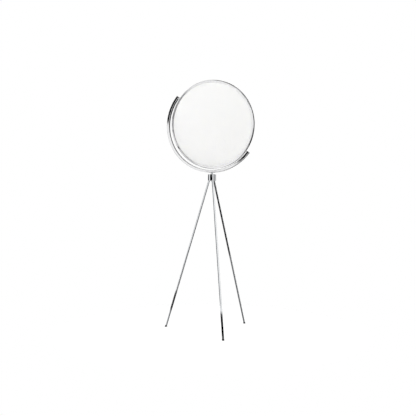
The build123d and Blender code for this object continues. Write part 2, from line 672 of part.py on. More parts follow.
# Terminal block on the back panel, where the wires from the pin meet the light strip.
TERMINAL_LENGTH, TERMINAL_BREADTH, TERMINAL_HEIGHT = TERMINAL_SIZE
with BuildPart() as terminal_block:
    with BuildSketch(HEAD_FRAME.offset(PANEL_FRONT + PANEL_STEP)):
        with Locations((TERMINAL_PLACE, 0)):
            Rectangle(TERMINAL_LENGTH, TERMINAL_BREADTH)
    extrude(amount=TERMINAL_HEIGHT)
    with BuildSketch(HEAD_FRAME.offset(PANEL_FRONT + PANEL_STEP + TERMINAL_HEIGHT)):
        with Locations((TERMINAL_PLACE, 0)):
            with GridLocations(TERMINAL_PITCH[0], TERMINAL_PITCH[1], 2, 2):
                Circle(TERMINAL_HOLE)
    extrude(amount=-TERMINAL_HEIGHT / 2, mode=Mode.SUBTRACT)
save(terminal_block, "terminal_block")
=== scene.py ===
"""Disc floor lamp: chrome tripod, half-circle channel and a thin opal light panel.

Each sub-assembly is a class that holds its own sizes in metres, builds its meshes as
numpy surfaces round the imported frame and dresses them. Every piece rides on a body of
the frame, so the same script looks right at every pose of the joints.
"""

import json
import logging
from dataclasses import dataclass
from enum import Enum
from functools import cache
from math import cos, pi, radians, sin
from typing import Any, Sequence

import bmesh
import bpy
import numpy as np
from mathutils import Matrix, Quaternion, Vector


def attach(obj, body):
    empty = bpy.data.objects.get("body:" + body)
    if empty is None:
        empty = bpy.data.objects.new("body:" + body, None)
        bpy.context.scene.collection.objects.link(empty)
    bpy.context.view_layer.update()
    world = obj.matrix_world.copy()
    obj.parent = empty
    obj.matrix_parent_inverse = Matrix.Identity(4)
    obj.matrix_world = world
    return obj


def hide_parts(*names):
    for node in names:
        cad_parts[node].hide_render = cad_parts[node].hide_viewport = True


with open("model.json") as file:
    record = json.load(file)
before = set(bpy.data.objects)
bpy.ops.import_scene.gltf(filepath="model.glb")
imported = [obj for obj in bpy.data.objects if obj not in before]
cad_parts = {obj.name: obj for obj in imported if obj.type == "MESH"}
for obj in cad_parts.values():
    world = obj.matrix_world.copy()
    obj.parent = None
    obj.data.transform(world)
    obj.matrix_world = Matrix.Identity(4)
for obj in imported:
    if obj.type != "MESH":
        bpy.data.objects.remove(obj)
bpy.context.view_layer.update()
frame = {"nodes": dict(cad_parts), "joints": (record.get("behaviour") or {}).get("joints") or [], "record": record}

LOG = logging.getLogger("disc_floor_lamp")

MM = 0.001
PHOTO_WIDTH = 416

# Fine steps of round surfaces: along a big circle, round a tube, and round an edge. The
# hold is the strip beside an edge's round that keeps the flat next to it truly flat.
BIG_STEPS = 360
TUBE_STEPS = 72
EDGE_STEPS = 6
HOLD = 0.1 * MM
SHARP_ANGLE = radians(32)

# Nearly all values of a noise lie in this span.
NOISE_SPAN = (0.3, 0.7)

# Radii of small edges: broken with a file, deburred, and softened by buffing.
BROKEN = 0.2 * MM
DEBURRED = 0.3 * MM
SOFTENED = 0.5 * MM


class Body(Enum):
    """The four bodies that the joints move."""

    TRIPOD = "tripod"
    SWIVEL = "swivel"
    ARC = "arc"
    HEAD = "head"


def array(values: Sequence[float]) -> np.ndarray:
    """The values as a float array."""
    return np.array(values, dtype=float)


def unit(vector: np.ndarray) -> np.ndarray:
    """The vector at a length of one."""
    return vector / np.linalg.norm(vector)


@dataclass(frozen=True)
class Placement:
    """Axes that a surface is worked out in: a point is the origin plus x, y and z times them."""

    origin: np.ndarray
    x: np.ndarray
    y: np.ndarray
    z: np.ndarray

    def put(self, points: np.ndarray) -> np.ndarray:
        """Carry local points into the frame of the lamp.

        Args:
            points: Local points, the last axis of the array being x, y and z.

        Returns:
            An array of the same form in the frame of the lamp.
        """
        return self.origin + points @ np.stack([self.x, self.y, self.z])

    def moved(self, x: float = 0.0, y: float = 0.0, z: float = 0.0) -> "Placement":
        """The same axes with the origin moved along them."""
        return Placement(self.put(array([x, y, z])), self.x, self.y, self.z)


def joint(name: str) -> dict[str, Any]:
    """The frame's joint of this name."""
    return next(found for found in frame["joints"] if found["name"] == name)


def flattest_direction(node: str) -> np.ndarray:
    """Unit normal of a flat round node, pointing to the front of the lamp.

    The normal is the direction in which the node's own points spread least.

    Args:
        node: The node's name.

    Returns:
        The normal.
    """
    mesh = frame["nodes"][node].data
    points = np.empty(len(mesh.vertices) * 3)
    mesh.vertices.foreach_get("co", points)
    points = points.reshape(-1, 3)
    normal = np.linalg.svd(points - points.mean(axis=0), full_matrices=False)[2][-1]
    return normal if normal[1] < 0 else -normal


CENTRE = array(joint("arc_slide")["pos_m"])
PIVOT_LINE = unit(array(joint("head_tilt")["axis"]))
FRONT = array([0.0, -1.0, 0.0])
HEAD_FRONT = flattest_direction("diffuser")
UPRIGHT = Placement(
    array([CENTRE[0], CENTRE[1], 0.0]), array([1, 0, 0]), array([0, 1, 0]), array([0, 0, 1])
)
ARC_PLACE = Placement(CENTRE, PIVOT_LINE, np.cross(FRONT, PIVOT_LINE), FRONT)
HEAD_PLACE = Placement(CENTRE, PIVOT_LINE, np.cross(HEAD_FRONT, PIVOT_LINE), HEAD_FRONT)


def rounded(
    corners: Sequence[tuple[float, float]],
    radii: Sequence[float],
    closed: bool = False,
    steps: int = EDGE_STEPS,
) -> np.ndarray:
    """An outline whose corners are rounded by arcs.

    Each arc touches both edges at its corner: it starts the radius over the tangent of
    half the corner's angle away from the corner, and runs as a spherical blend between
    the two directions from its centre. A point on each edge, just past the arc, holds
    the flat beside it.

    Args:
        corners: The outline's corners, as pairs in metres.
        radii: One radius for each corner, nought for a sharp one.
        closed: True if the last corner joins the first.
        steps: Number of steps of each arc.

    Returns:
        The points of the outline, one row each.
    """
    corner = array(corners)
    before = np.roll(corner, 1, axis=0) - corner
    after = np.roll(corner, -1, axis=0) - corner
    if not closed:
        before[0], after[-1] = -after[0], -before[-1]
    before /= np.linalg.norm(before, axis=1, keepdims=True)
    after /= np.linalg.norm(after, axis=1, keepdims=True)
    half = np.arccos(np.clip((before * after).sum(axis=1), -1, 1)) / 2
    radius = array(radii)[:, None]
    bend = np.maximum(pi - 2 * half, 1e-6)[:, None, None]
    middle = before + after
    length = np.linalg.norm(middle, axis=1, keepdims=True)
    middle = np.where(length > 1e-9, middle / np.maximum(length, 1e-9), before)
    centre = corner + middle * radius / np.sin(half)[:, None]
    reach = radius / np.tan(half)[:, None]
    start = corner + before * reach - centre
    end = corner + after * reach - centre
    share = np.linspace(0, 1, steps + 1)[None, :, None]
    arc = np.sin((1 - share) * bend) * start[:, None] + np.sin(share * bend) * end[:, None]
    holds = [(corner + way * (reach + HOLD))[:, None] for way in (before, after)]
    points = np.concatenate([holds[0], centre[:, None] + arc / np.sin(bend), holds[1]], axis=1)
    plain = radius[:, 0] < 1e-9
    points[plain] = corner[plain][:, None]
    points = points.reshape(-1, 2)
    kept = np.ones(len(points), dtype=bool)
    kept[1:] = np.linalg.norm(np.diff(points, axis=0), axis=1) > 1e-7
    return points[kept]


def turned(outline: np.ndarray, angles: np.ndarray) -> np.ndarray:
    """Surface of revolution: each outline point goes round the local z axis.

    A point at radius r and height h becomes r cos a, r sin a, h for each angle a.

    Args:
        outline: Rows of radius and height.
        angles: The angles in radians.

    Returns:
        A grid of points, one row for each angle.
    """
    radius, height = outline[:, 0], outline[:, 1]
    return np.stack(
        [
            np.cos(angles)[:, None] * radius,
            np.sin(angles)[:, None] * radius,
            np.ones(len(angles))[:, None] * height,
        ],
        axis=-1,
    )


def circle_angles(steps: int) -> np.ndarray:
    """Angles of a whole turn, without the one that would repeat the first."""
    return np.linspace(0, 2 * pi, steps, endpoint=False)


class Closing(Enum):
    """How a grid is closed: its rows go round, its columns go round, its ends are capped."""

    SHEET = (False, False, False)
    TURNED = (True, False, False)
    RING = (True, True, False)
    BAR = (False, True, True)


@dataclass
class Patch:
    """One grid of points with what it takes to close it."""

    points: np.ndarray
    closing: Closing = Closing.TURNED

    def quads(self, first: int) -> np.ndarray:
        """Join each point to its neighbours in the next row and the next column.

        Args:
            first: The mesh's number for the grid's first point.

        Returns:
            Corner numbers, one row for each quad.
        """
        rows, columns = self.points.shape[:2]
        number = np.arange(rows * columns).reshape(rows, columns)
        rows_round, columns_round, _ = self.closing.value
        if rows_round:
            number = np.vstack([number, number[:1]])
        if columns_round:
            number = np.hstack([number, number[:, :1]])
        corners = (number[:-1, :-1], number[1:, :-1], number[1:, 1:], number[:-1, 1:])
        return first + np.stack(corners, axis=-1).reshape(-1, 4)

    def caps(self, first: int) -> list[list[int]]:
        """Close the grid's ends, where it asks for that.

        Args:
            first: The mesh's number for the grid's first point.

        Returns:
            The first and last rows as two faces, or nothing.
        """
        if not self.closing.value[2]:
            return []
        rows, columns = self.points.shape[:2]
        row = first + np.arange(columns)
        return [row.tolist(), (row + (rows - 1) * columns)[::-1].tolist()]


def lathe(
    place: Placement,
    outline: np.ndarray,
    closing: Closing = Closing.TURNED,
    steps: int = TUBE_STEPS,
) -> Patch:
    """An outline turned right round the z axis of a placement."""
    return Patch(place.put(turned(outline, circle_angles(steps))), closing)


def add_object(name: str, data: bpy.types.ID) -> bpy.types.Object:
    """Make an object of this data and put it into the scene.

    Args:
        name: The object's name.
        data: Its mesh, lamp or camera.

    Returns:
        The new object.
    """
    made = bpy.data.objects.new(name, data)
    bpy.context.scene.collection.objects.link(made)
    return made


def piece(
    name: str,
    patches: Sequence[Patch],
    body: Body,
    slot: str,
    stands_for: Sequence[str] = (),
    bevel: float = 0.0,
) -> None:
    """Make one piece of the lamp from its patches, in the frame of the lamp.

    Args:
        name: The piece's name.
        patches: Its surfaces, already placed.
        body: The body that it rides on.
        slot: The record's material slot, which gives its finish.
        stands_for: The nodes that it takes the place of.
        bevel: Width in metres of a bevel on its sharp edges, nought for none.
    """
    faces: list[list[int]] = []
    first = 0
    for patch in patches:
        faces += patch.quads(first).tolist() + patch.caps(first)
        first += patch.points.shape[0] * patch.points.shape[1]
    points = np.vstack([patch.points.reshape(-1, 3) for patch in patches])
    mesh = bpy.data.meshes.new(name)
    mesh.from_pydata(points.tolist(), [], faces)
    shell = bmesh.new()
    shell.from_mesh(mesh)
    bmesh.ops.remove_doubles(shell, verts=shell.verts, dist=1e-7)
    bmesh.ops.dissolve_degenerate(shell, edges=shell.edges, dist=1e-8)
    bmesh.ops.recalc_face_normals(shell, faces=shell.faces)
    shell.to_mesh(mesh)
    shell.free()
    mesh.shade_smooth()
    mesh.set_sharp_from_angle(angle=SHARP_ANGLE)
    mesh.materials.append(SLOT_FINISH[slot].build())
    made = add_object(name, mesh)
    if bevel > 0:
        edge = made.modifiers.new("edge", "BEVEL")
        edge.width = bevel
        edge.segments = 3
        edge.limit_method = "ANGLE"
        edge.angle_limit = SHARP_ANGLE
        edge.harden_normals = True
    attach(made, body.value)
    if stands_for:
        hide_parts(*stands_for)
    LOG.info("%s: %d faces on %s", name, len(mesh.polygons), body.value)


def linear(code: str) -> tuple[float, float, float, float]:
    """Linear colour of an sRGB hex code such as #A0B0C0.

    Each channel c becomes c / 12.92 up to 0.04045, and ((c + 0.055) / 1.055) to the
    power 2.4 above it.

    Args:
        code: The hex code.

    Returns:
        Red, green, blue and an alpha of one.
    """
    channel = array([int(code[i : i + 2], 16) / 255 for i in (1, 3, 5)])
    low, high = channel / 12.92, ((channel + 0.055) / 1.055) ** 2.4
    return (*np.where(channel <= 0.04045, low, high).tolist(), 1.0)


def empty_tree(owner: bpy.types.Material | bpy.types.World) -> bpy.types.NodeTree:
    """Turn on the nodes of a material or a world and clear them.

    Args:
        owner: The material or the world.

    Returns:
        Its empty node tree.
    """
    owner.use_nodes = True
    owner.node_tree.nodes.clear()
    return owner.node_tree


def add_node(
    tree: bpy.types.NodeTree, kind: str, settings: dict[str, Any] | None = None, **sockets: Any
) -> Any:
    """Add a shader node, set it up and link it.

    Args:
        tree: The node tree.
        kind: The node's type, such as Math.
        settings: Its properties, if they aren't the usual ones.
        sockets: Its inputs, by name with _ for a space or by number as i0, i1 and so on.
            A socket is linked, and anything else is set as the input's value.

    Returns:
        The new node.
    """
    node = tree.nodes.new("ShaderNode" + kind)
    for key, value in (settings or {}).items():
        setattr(node, key, value)
    for key, value in sockets.items():
        numbered = key[0] == "i" and key[1:].isdigit()
        place = node.inputs[int(key[1:]) if numbered else key.replace("_", " ")]
        if isinstance(value, bpy.types.NodeSocket):
            tree.links.new(value, place)
        else:
            place.default_value = value
    return node


@dataclass(frozen=True)
class Grain:
    """A fine pattern: its real size, how far it stands out and how far it spreads the gloss."""

    size: float
    height: float
    gloss_size: float
    gloss_spread: float
    detail: float = 3.0


@dataclass(frozen=True)
class Finish:
    """A finish of one real material: its name, its colour and the numbers of its surface."""

    name: str
    colour: str
    metallic: float
    roughness: float
    grain: Grain
    shade: str = ""
    shade_size: float = 0.05
    ior: float | None = None
    coat: float = 0.0
    sheen: float = 0.0
    through: float = 0.0
    depth: float = 0.0

    @cache
    def build(self) -> bpy.types.Material:
        """Build the finish once: a base with a grain in its height, its gloss and its colour.

        Returns:
            The finished material.
        """
        material = bpy.data.materials.new(self.name)
        tree = empty_tree(material)
        place = add_node(tree, "TexCoord").outputs["Object"]
        fine = add_node(
            tree, "TexNoise", Vector=place, Scale=1 / self.grain.size, Detail=self.grain.detail,
        )
        smear = add_node(
            tree, "TexNoise", Vector=place, Scale=1 / self.grain.gloss_size, Detail=2.0,
        )
        gloss = add_node(
            tree, "MapRange", Value=smear.outputs[0], From_Min=NOISE_SPAN[0],
            From_Max=NOISE_SPAN[1], To_Min=max(self.roughness - self.grain.gloss_spread, 0.0),
            To_Max=self.roughness + self.grain.gloss_spread,
        )
        bump = add_node(
            tree, "Bump", Height=fine.outputs[0], Distance=self.grain.height, Strength=1.0,
        )
        shader = add_node(
            tree, "BsdfPrincipled", Base_Color=linear(self.colour), Metallic=self.metallic,
            Roughness=gloss.outputs[0], Normal=bump.outputs[0],
        )
        if self.shade:
            cloud = add_node(tree, "TexNoise", Vector=place, Scale=1 / self.shade_size, Detail=4.0)
            mix = add_node(
                tree, "Mix", {"data_type": "RGBA"}, i0=cloud.outputs[0], i6=linear(self.colour),
                i7=linear(self.shade),
            )
            tree.links.new(mix.outputs[2], shader.inputs["Base Color"])
        if self.ior is not None:
            shader.inputs["IOR"].default_value = self.ior
        shader.inputs["Coat Weight"].default_value = self.coat
        shader.inputs["Sheen Weight"].default_value = self.sheen
        shader.inputs["Transmission Weight"].default_value = self.through
        if self.depth > 0:
            shader.inputs["Subsurface Weight"].default_value = 1.0
            shader.inputs["Subsurface Radius"].default_value = (1.0, 1.0, 0.95)
            shader.inputs["Subsurface Scale"].default_value = self.depth
        add_node(tree, "OutputMaterial", Surface=shader.outputs[0])
        return material


# Chrome plate on ground and buffed steel tube: a cool mirror, with the soft bands that the
# buffing wheel leaves and a slight waviness under the plate.
CHROME = Finish(
    "chrome_plate_buffed_steel", "#EBEDEF", 1.0, 0.03, Grain(9 * MM, 0.002 * MM, 40 * MM, 0.012)
)
# Chrome plate on extruded aluminium channel and rolled rim: a touch warmer and less sharp,
# because the section is drawn and not ground.
PLATED_SECTION = Finish(
    "chrome_plate_drawn_aluminium", "#ECECED", 1.0, 0.035, Grain(6 * MM, 0.002 * MM, 30 * MM, 0.015)
)
# Moulded black rubber: matt, with the fine eroded skin of its mould.
RUBBER = Finish(
    "rubber_moulded_black", "#0C0C0D", 0.0, 0.7, Grain(0.7 * MM, 0.05 * MM, 8 * MM, 0.1),
    shade="#161618", shade_size=12 * MM, ior=1.52, sheen=0.02,
)
# Opal cast acrylic with a satin face: light goes a few millimetres into it, so it looks
# soft and even.
OPAL = Finish(
    "acrylic_opal_cast_satin", "#F7F7F6", 0.0, 0.38, Grain(0.6 * MM, 0.004 * MM, 60 * MM, 0.03),
    shade="#F4F4F3", shade_size=0.2, ior=1.49, depth=2 * MM,
)
# Clear cast acrylic, polished: the light guide.
CLEAR = Finish(
    "acrylic_clear_polished", "#F4F8F8", 0.0, 0.05, Grain(3 * MM, 0.002 * MM, 20 * MM, 0.01),
    ior=1.49, through=1.0,
)
# White reflector film: matt polyester with a faint cloudiness.
FILM = Finish(
    "polyester_film_white", "#F2F2F0", 0.0, 0.55, Grain(0.5 * MM, 0.01 * MM, 15 * MM, 0.05),
    shade="#ECECEA", shade_size=40 * MM,
)
# White powder coat on aluminium sheet: the orange peel of the baked powder.
POWDER = Finish(
    "aluminium_powder_coat_white", "#E9E9E7", 0.0, 0.42, Grain(1.6 * MM, 0.05 * MM, 12 * MM, 0.05),
    shade="#E4E4E2", shade_size=0.12, coat=0.15,
)
# Mill-finish aluminium: drawn, unpolished, slightly cloudy.
MILL = Finish(
    "aluminium_mill_finish", "#C3C5C8", 1.0, 0.34, Grain(1.2 * MM, 0.02 * MM, 10 * MM, 0.08),
    shade="#B4B6B9", shade_size=20 * MM,
)
# Bright zinc plate on turned steel: pale blue-grey with yellowish clouds.
ZINC = Finish(
    "steel_zinc_plate", "#BFC2C4", 1.0, 0.28, Grain(0.8 * MM, 0.01 * MM, 6 * MM, 0.06),
    shade="#B8B49F", shade_size=9 * MM,
)
# Spring steel: rolled and blued, dark and even.
SPRING = Finish(
    "spring_steel_rolled", "#6F7276", 1.0, 0.3, Grain(0.8 * MM, 0.008 * MM, 6 * MM, 0.05),
    shade="#5C5F68", shade_size=8 * MM,
)
# Natural nylon: moulded, milky and slightly yellow.
NYLON = Finish(
    "nylon_moulded_natural", "#E3DFD2", 0.0, 0.45, Grain(1.0 * MM, 0.02 * MM, 8 * MM, 0.05),
    shade="#DAD5C5", shade_size=10 * MM, ior=1.53,
)
# Black stoved paint on pressed steel.
BLACK_PAINT = Finish(
    "steel_stoved_black", "#1B1C1E", 0.0, 0.4, Grain(1.4 * MM, 0.02 * MM, 8 * MM, 0.06),
    shade="#232427", shade_size=14 * MM, coat=0.2,
)
# White solder mask on a flexible circuit strip.
MASK = Finish(
    "solder_mask_white", "#E9EAE6", 0.0, 0.35, Grain(0.8 * MM, 0.01 * MM, 8 * MM, 0.04),
    shade="#E1E2DC", shade_size=12 * MM,
)
# Yellow phosphor under clear resin.
PHOSPHOR = Finish(
    "phosphor_resin_yellow", "#E3CE6A", 0.0, 0.2, Grain(0.4 * MM, 0.01 * MM, 3 * MM, 0.04),
    shade="#D9C052", shade_size=2 * MM, coat=0.5,
)

# What each record slot looks like.
SLOT_FINISH = {
    "polished_chrome": CHROME,
    "plated_aluminium": PLATED_SECTION,
    "foot_rubber": RUBBER,
    "gasket_rubber": RUBBER,
    "opal_acrylic": OPAL,
    "clear_acrylic": CLEAR,
    "reflector_film": FILM,
    "bare_aluminium": MILL,
    "zinc_steel": ZINC,
    "spring_steel": SPRING,
    "moulded_nylon": NYLON,
    "coated_aluminium": POWDER,
    "painted_steel": BLACK_PAINT,
    "circuit_strip": MASK,
    "light_chips": PHOSPHOR,
}


def dress_nodes() -> None:
    """Give every node of the frame the finish of its record slot."""
    for row in frame["record"]["subparts"]:
        for place in frame["nodes"][row["node"]].material_slots:
            place.material = SLOT_FINISH[row["material_slot"]].build()


# Height of the hub's underside above the floor.
HUB_BOTTOM = 1.197


@dataclass
class Tripod:
    """Three straight tubes with rubber feet, and the hub that they meet in."""

    foot_circle: float = 388 * MM
    azimuths: tuple[float, ...] = (180.0, 300.0, 60.0)
    leg_radius: float = 8 * MM
    top_circle: float = 24 * MM
    socket_depth: float = 12 * MM
    foot_radius: float = 8.7 * MM
    foot_height: float = 13 * MM
    foot_lap: float = 2 * MM
    foot_edge: float = 0.6 * MM
    sole_edge: float = 0.8 * MM
    groove_depth: float = 0.35 * MM
    groove_steps: tuple[float, ...] = (4.6 * MM, 4.3 * MM, 3.9 * MM, 3.6 * MM)
    hub_radius: float = 33.5 * MM
    hub_bottom: float = HUB_BOTTOM
    hub_height: float = 50 * MM
    hub_edge: float = 0.8 * MM
    cavity_radius: float = 11 * MM
    cavity_depth: float = 11 * MM
    bore_radius: float = 6 * MM
    bush_radius: float = 8 * MM
    bush_length: float = 20 * MM
    lip_sink: float = 1 * MM
    lip_drop: float = 0.4 * MM
    lip_foot: float = 0.1 * MM

    def leg_place(self, azimuth: float) -> tuple[Placement, float]:
        """Axes of a leg and its length from the floor to the hub.

        Args:
            azimuth: Where the foot stands round the swivel axis, in degrees.

        Returns:
            The axes, with z up the leg from the floor, and the length in metres.
        """
        out = array([cos(radians(azimuth)), sin(radians(azimuth)), 0.0])
        ground = UPRIGHT.origin + out * self.foot_circle
        entry = UPRIGHT.origin + out * self.top_circle + array([0, 0, self.hub_bottom])
        along = unit(entry - ground)
        side = array([-out[1], out[0], 0.0])
        return Placement(ground, side, np.cross(along, side), along), np.linalg.norm(entry - ground)

    def cut_level(self, place: Placement, radius: np.ndarray, height: float) -> np.ndarray:
        """Rings of a leaning cylinder where a level plane cuts it.

        For a point at the side and up parts of a ring, the way along the leg to the
        plane is the height less the ring's own rise, over the leg's rise.

        Args:
            place: The leg's axes.
            radius: Radii of the rings.
            height: Height of the plane above the floor.

        Returns:
            Local points, one row for each angle.
        """
        angles = circle_angles(TUBE_STEPS)
        across = np.cos(angles)[:, None] * radius
        over = np.sin(angles)[:, None] * radius
        along = (height - over * place.y[2]) / place.z[2]
        return np.stack([across, over, along], axis=-1)

    def leg(self, number: int, azimuth: float) -> None:
        """One leg: a plain tube from its foot into its socket.

        Args:
            number: The leg's number, from one.
            azimuth: Where its foot stands, in degrees.
        """
        place, length = self.leg_place(azimuth)
        outline = array([
            (self.leg_radius, self.foot_height - self.foot_lap),
            (self.leg_radius, length / 3),
            (self.leg_radius, length * 2 / 3),
            (self.leg_radius, length + self.socket_depth),
        ])
        grid = place.put(turned(outline, circle_angles(TUBE_STEPS)).transpose(1, 0, 2))
        piece(
            f"leg_tube_{number}", [Patch(grid, Closing.BAR)], Body.TRIPOD, "polished_chrome",
            [f"leg_{number}"],
        )

    def foot(self, number: int, azimuth: float) -> None:
        """One foot: a rubber sleeve, cut level at the floor, with a groove round it.

        Args:
            number: The foot's number, from one.
            azimuth: Where it stands, in degrees.
        """
        place = self.leg_place(azimuth)[0]
        radius, top = self.foot_radius, self.foot_height
        sole = self.cut_level(place, array([0.0, radius * 0.6, radius - self.sole_edge]), 0.0)
        edge = self.cut_level(place, array([radius]), self.sole_edge)
        depths = (0.0, self.groove_depth, self.groove_depth, 0.0)
        side = rounded(
            [
                *[(radius - depth, top - step) for depth, step in zip(depths, self.groove_steps)],
                (radius, top),
                (self.leg_radius, top),
                (self.leg_radius - DEBURRED, top - self.foot_lap),
            ],
            [0, 0, 0, 0, self.foot_edge, 0, 0],
        )
        grid = np.concatenate([sole, edge, turned(side, circle_angles(TUBE_STEPS))], axis=1)
        grid = place.put(grid).transpose(1, 0, 2)
        piece(
            f"rubber_foot_{number}", [Patch(grid, Closing.BAR)], Body.TRIPOD, "foot_rubber",
            [f"foot_{number}"],
        )

    def hub(self) -> None:
        """The turned hub: one closed outline round the swivel axis, and a lip at each socket."""
        bottom, top = self.hub_bottom, self.hub_bottom + self.hub_height
        outline = rounded(
            [
                (self.bush_radius, top),
                (self.hub_radius, top),
                (self.hub_radius, bottom),
                (self.cavity_radius, bottom),
                (self.cavity_radius, bottom + self.cavity_depth),
                (self.bore_radius, bottom + self.cavity_depth),
                (self.bore_radius, top - self.bush_length),
                (self.bush_radius, top - self.bush_length),
            ],
            [DEBURRED, self.hub_edge, self.hub_edge, DEBURRED, 0, 0, 0, 0],
            closed=True,
        )
        patches = [lathe(UPRIGHT, outline, Closing.RING, TUBE_STEPS * 2)]
        # A socket's lip is three sets of rings: inside it, along its crest and outside it.
        rings = (
            ([0.1], self.lip_sink), ([0.1, 0.3, 0.8, 1.1], -self.lip_drop), ([1.5], self.lip_foot)
        )
        for azimuth in self.azimuths:
            place = self.leg_place(azimuth)[0]
            lip = [
                self.cut_level(place, self.leg_radius + array(out) * MM, bottom + rise)
                for out, rise in rings
            ]
            patches.append(Patch(place.put(np.concatenate(lip, axis=1)), Closing.RING))
        piece("hub_turned", patches, Body.TRIPOD, "polished_chrome", ["tripod_hub"])

    def build(self) -> None:
        """Build the whole tripod."""
        for number, azimuth in enumerate(self.azimuths, start=1):
            self.leg(number, azimuth)
            self.foot(number, azimuth)
        self.hub()


@dataclass
class CableOutlet:
    """The cover under the hub, and the bush that the cable leaves by, with its ribs."""

    top: float = HUB_BOTTOM + 2 * MM
    bottom: float = HUB_BOTTOM
    cover_radius: float = 10.95 * MM
    cover_hole: float = 4.5 * MM
    cover_edge: float = 0.4 * MM
    wire_hole: float = 2.6 * MM
    waist: float = 4.45 * MM
    flange: float = 6 * MM
    flange_thickness: float = 1.2 * MM
    flange_edge: float = 0.4 * MM
    ribs: int = 4
    rib_height: float = 0.22 * MM
    sleeve_start: float = 1.4 * MM
    sleeve_length: float = 6.2 * MM
    sleeve_radius: float = 5 * MM
    sleeve_taper: float = 0.8 * MM
    tip: float = 8 * MM
    tip_radius: float = 3.9 * MM

    def cover(self) -> None:
        """The cover: a pressed disc with a rolled outer edge and a hole for the bush."""
        outline = rounded(
            [
                (self.cover_hole, self.top),
                (self.cover_radius, self.top),
                (self.cover_radius, self.bottom),
                (self.cover_hole, self.bottom),
            ],
            [0, BROKEN, self.cover_edge, BROKEN],
            closed=True,
        )
        piece(
            "hub_cover_pressed", [lathe(UPRIGHT, outline, Closing.RING)], Body.TRIPOD,
            "painted_steel", ["hub_cover"],
        )

    def bush(self) -> None:
        """The bush: a flange under the cover and a tapered sleeve.

        The sleeve's radius falls evenly to its tip, and a cosine adds one swell a rib.
        """
        share = np.linspace(0, 1, 25)
        swell = self.rib_height * np.cos(share * self.ribs * 2 * pi)
        radius = self.sleeve_radius - self.sleeve_taper * share + swell
        height = self.bottom - self.sleeve_start - self.sleeve_length * share
        outline = np.vstack([
            rounded(
                [
                    (self.wire_hole, self.top),
                    (self.waist, self.top),
                    (self.waist, self.bottom),
                    (self.flange, self.bottom),
                    (self.flange, self.bottom - self.flange_thickness),
                ],
                [0, BROKEN, 0, self.flange_edge, 0],
            ),
            np.stack([radius, height], axis=-1),
            array([(r, self.bottom - self.tip) for r in (self.tip_radius, self.wire_hole)]),
        ])
        piece(
            "cable_bush_ribbed", [lathe(UPRIGHT, outline, Closing.RING)], Body.TRIPOD,
            "gasket_rubber", ["cable_bush"],
        )

    def build(self) -> None:
        """Build the cover and the bush."""
        self.cover()
        self.bush()


@dataclass
class Neck:
    """The short swivel neck between the hub and the arc."""

    tail_bottom: float = 1.2
    shank_bottom: float = 1.227
    bottom: float = 1.2485
    radius: float = 8 * MM
    shoulder: float = 10.5 * MM
    shoulder_height: float = 2 * MM
    shoulder_fillet: float = 3 * MM
    flare: float = 2.5 * MM
    arc_outer: float = 383 * MM
    tenon_reach: float = 367.5 * MM
    slot_radius: float = 5 * MM
    shank_radius: float = 5.8 * MM
    wire_bore: float = 3 * MM
    slack: float = 0.5 * MM

    def build(self) -> None:
        """Build the neck: a turned spindle with a coned shoulder at its foot."""
        top = CENTRE[2] - self.arc_outer - self.slack
        tenon = CENTRE[2] - self.tenon_reach
        outline = rounded(
            [
                (self.wire_bore, self.tail_bottom),
                (self.slot_radius, self.tail_bottom),
                (self.slot_radius, self.shank_bottom),
                (self.shank_radius, self.shank_bottom),
                (self.shank_radius, self.bottom),
                (self.shoulder, self.bottom),
                (self.shoulder, self.bottom + self.shoulder_height),
                (self.radius, self.bottom + self.shoulder_height + self.flare),
                (self.radius, top),
                (self.slot_radius, top),
                (self.slot_radius, tenon),
                (self.wire_bore, tenon),
            ],
            [0] * 5 + [DEBURRED, SOFTENED, self.shoulder_fillet, SOFTENED, 0, DEBURRED, 0],
            closed=True,
        )
        piece(
            "neck_turned", [lathe(UPRIGHT, outline, Closing.RING)], Body.SWIVEL, "polished_chrome",
            ["swivel_spindle"],
        )


